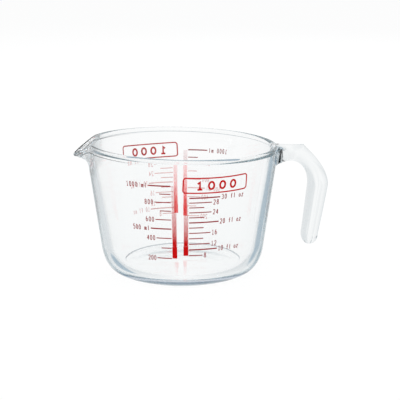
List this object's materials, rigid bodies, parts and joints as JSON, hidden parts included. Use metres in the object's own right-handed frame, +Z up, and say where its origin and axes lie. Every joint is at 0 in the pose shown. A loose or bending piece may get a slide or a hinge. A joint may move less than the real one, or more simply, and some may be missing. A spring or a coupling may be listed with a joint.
{
  "type": "measuring jug",
  "caption": "Clear pressed glass measuring jug with a tapered round bowl, pouring spout, open hook handle and red enamel volume scales on both sides.",
  "frame": {"origin": "the middle of the standing face, on the bowl's axis", "axes": "+Z up, -X towards the spout, +X towards the handle, the printed sides face -Y and +Y"},
  "size_m": [0.2083, 0.1572, 0.109],
  "materials": {
    "glass": "clear pressed glass, fire polished",
    "enamel": "fired red glass enamel"
  },
  "bodies": {
    "root": {"jug_body": "glass", "handle": "glass", "front_metric_column": "enamel", "front_metric_lines": "enamel", "front_metric_numbers": "enamel", "front_imperial_column": "enamel", "front_imperial_lines": "enamel", "front_imperial_numbers": "enamel", "front_mark_frame": "enamel", "front_mark_number": "enamel", "back_metric_column": "enamel", "back_metric_lines": "enamel", "back_metric_numbers": "enamel", "back_imperial_column": "enamel", "back_imperial_lines": "enamel", "back_imperial_numbers": "enamel", "back_mark_frame": "enamel", "back_mark_number": "enamel"}
  },
  "joints": []
}
